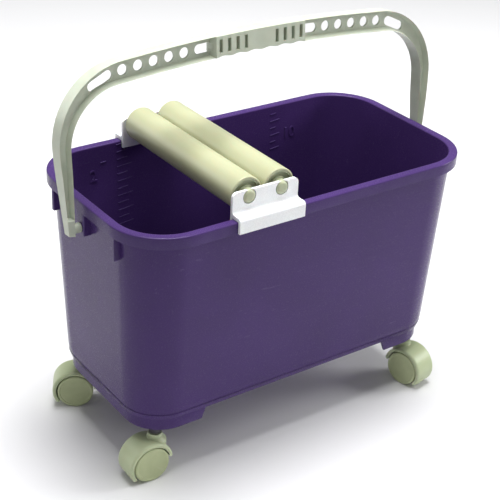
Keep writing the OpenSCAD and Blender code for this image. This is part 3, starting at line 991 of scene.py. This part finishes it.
def makeHood():
    centre = Vector((caster["trail"], 0, caster["wheelRadius"]))
    across = Vector((0, caster["wheelOut"], 0))
    hood = rodAt(caster["hoodOuter"], centre - across, centre + across, steps=96)
    selectIn(hood, "edges", lambda e: abs(e.verts[0].co.y - e.verts[1].co.y) < tiny)
    bpy.ops.mesh.bevel(offset=caster["crown"], segments=5, affect="EDGES", profile=0.5)
    leaveEdit()
    neckOut = caster["neck"] + caster["flare"]
    hoodTop = centre.z + caster["hoodOuter"]
    neck = turned("hood_neck", filleted(
        [(0, centre.z), (neckOut, centre.z), (neckOut, hoodTop - caster["flareLow"]),
         (caster["neck"], hoodTop + caster["flareTop"]), (caster["neck"], caster["neckTop"]),
         (0, caster["neckTop"])],
        [0, 0, caster["flareRound"], caster["flareRound"], caster["neckRound"], 0]))
    addTo(hood, neck)
    tilt = math.radians(caster["underTilt"])
    editAll(hood)
    bpy.ops.mesh.bisect(
        plane_co=centre - Vector((0, 0, caster["underDrop"])),
        plane_no=(math.sin(tilt), 0, math.cos(tilt)), use_fill=True, clear_inner=True)
    leaveEdit()
    for side in (-1, 1):
        inside = centre + Vector((0, side * caster["web"], 0))
        outside = centre + Vector((0, side * caster["toolWide"], 0))
        cutFrom(hood, rodAt(caster["hoodInner"], inside, outside, steps=96))
    foot = Vector((0, caster["web"], 0))
    addTo(hood, rodAt(caster["foot"], centre - foot, centre + foot))
    cutFrom(hood, rodAt(caster["axle"], centre - 2 * foot, centre + 2 * foot, steps=32))
    stemTop = caster["neckTop"] + mm
    cutFrom(hood, rodAt(caster["stem"], (0, 0, caster["stemLow"]), (0, 0, stemTop), steps=32))
    roundEdges(hood, caster["edge"], angle=40)
    closeUp(hood)
    smooth(hood)
    return hood


def makeWheel():
    # one wheel on the +Y side: smooth outer disc, hollow inner side
    radius = caster["wheelRadius"]
    near, far = caster["wheelIn"], caster["wheelOut"]
    shaft = caster["axle"] + caster["run"]
    hub = caster["axle"] + caster["hubWall"]
    dished = far - caster["dish"]
    shellIn, shellFar = radius - caster["shell"], far - caster["shell"]
    boreEnd = far - caster["cap"]
    wheel = turned("caster_wheel", filleted(
        [(0, dished), (radius - caster["dishEdge"], dished), (radius - caster["lip"], far),
         (radius, far), (radius, near), (shellIn, near), (shellIn, shellFar), (hub, shellFar),
         (hub, near), (shaft, near), (shaft, boreEnd), (0, boreEnd)],
        caster["wheelRounds"]), steps=72)
    place(wheel, (caster["trail"], 0, radius), (-math.pi / 2, 0, 0))
    smooth(wheel)
    return wheel


def makeSocket(corner):
    # collar under the foot and the sleeve inside the boss
    low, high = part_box("caster_socket_" + corner)
    collar = (high[0] - low[0]) / 2
    foot = footZ - low[2]
    tall = high[2] - low[2]
    sleeve = caster["sleeve"]
    bore = caster["stem"] + caster["stemGap"]
    socket = turned("socket_sleeve_" + corner, filleted(
        [(bore, 0), (collar, 0), (collar, foot), (sleeve, foot), (sleeve, tall - mm),
         (sleeve - mm, tall), (bore, tall)],
        caster["socketRounds"], steps=3), steps=48, closed=True)
    at = middle("caster_socket_" + corner)
    place(socket, (at.x, at.y, low[2]))
    smooth(socket)
    finishPiece(socket, "tub", "socket_plastic", "caster_socket_" + corner)
    return at


hoodMaster = makeHood()
wheelMaster = makeWheel()
for corner in cornerNames:
    swivelAt = makeSocket(corner)
    axleAt = middle("caster_axle_" + corner)
    turn = math.atan2(axleAt.y - swivelAt.y, axleAt.x - swivelAt.x)
    spot = (swivelAt.x, swivelAt.y, 0)
    hood = copyOf(hoodMaster, "hood_shell_" + corner)
    place(hood, spot, (0, 0, turn))
    finishPiece(hood, "caster_" + corner, "hood_plastic", "caster_hood_" + corner)
    for which, flip in (("outer", 0), ("inner", math.pi)):
        wheel = copyOf(wheelMaster, which + "_disc_" + corner)
        if flip:
            place(wheel, (2 * caster["trail"], 0, 0), (0, 0, flip))
        place(wheel, spot, (0, 0, turn))
        finishPiece(wheel, which + "_wheel_" + corner, "wheel_plastic",
                    "caster_" + which + "_wheel_" + corner)
bpy.data.objects.remove(hoodMaster)
bpy.data.objects.remove(wheelMaster)
print("casters ready")

for name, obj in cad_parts.items():
    if name.startswith(("caster_stem", "caster_axle")):
        obj.data.materials.clear()
        obj.data.materials.append(finish["pin_steel"])


# stage, light and camera

studio = {
    "floorSize": 14.0, "aim": (0, 0, 0.2), "floorColour": (0.76, 0.76, 0.77), "sky": 0.30,
    "lights": [
        # place, size, power
        ((0.1, 0.1, 2.3), 1.4, 84),
        ((2.2, -0.9, 1.2), 1.0, 30),
        ((-1.2, 2.0, 0.9), 1.2, 8),
    ],
}


def makeStage():
    bpy.ops.mesh.primitive_plane_add(size=studio["floorSize"], location=(0, 0, 0))
    floor = bpy.context.object
    floor.name = "floor"
    material = bpy.data.materials.new("studio_floor")
    material.use_nodes = True
    shader = material.node_tree.nodes["Principled BSDF"]
    shader.inputs["Base Color"].default_value = (*studio["floorColour"], 1)
    shader.inputs["Roughness"].default_value = 0.9
    floor.data.materials.append(material)
    for spot, size, power in studio["lights"]:
        aim = Vector(studio["aim"]) - Vector(spot)
        bpy.ops.object.light_add(
            type="AREA", location=spot, rotation=aim.to_track_quat("-Z", "Y").to_euler())
        light = bpy.context.object.data
        light.shape = "DISK"
        light.size = size
        light.energy = power
    world = bpy.data.worlds.new("studio")
    world.use_nodes = True
    sky = world.node_tree.nodes["Background"]
    sky.inputs["Color"].default_value = (1, 1, 1, 1)
    sky.inputs["Strength"].default_value = studio["sky"]
    bpy.context.scene.world = world


cameraSet = {
    "target": (0.012, 0.0235, 0.190), "azimuth": -36.5, "elevation": 28.6, "distance": 1.601,
    "roll": 2.9, "lens": 91.3,
}


def makeCamera():
    azimuth = math.radians(cameraSet["azimuth"])
    elevation = math.radians(cameraSet["elevation"])
    roll = math.radians(cameraSet["roll"])
    back = Vector((
        math.sin(azimuth) * math.cos(elevation), -math.cos(azimuth) * math.cos(elevation),
        math.sin(elevation)))
    right = (-back).cross(Vector((0, 0, 1))).normalized()
    up = right.cross(-back)
    rolledRight = right * math.cos(roll) + up * math.sin(roll)
    rolledUp = up * math.cos(roll) - right * math.sin(roll)
    pose = Matrix((rolledRight, rolledUp, back)).transposed().to_4x4()
    pose.translation = Vector(cameraSet["target"]) + back * cameraSet["distance"]
    bpy.ops.object.camera_add()
    camera = bpy.context.object
    camera.matrix_world = pose
    camera.data.lens = cameraSet["lens"]
    camera.data.sensor_width = 36
    camera.data.clip_end = 50
    bpy.context.scene.camera = camera


makeStage()
makeCamera()
bpy.context.scene.view_settings.view_transform = "Standard"
print("stage ready")
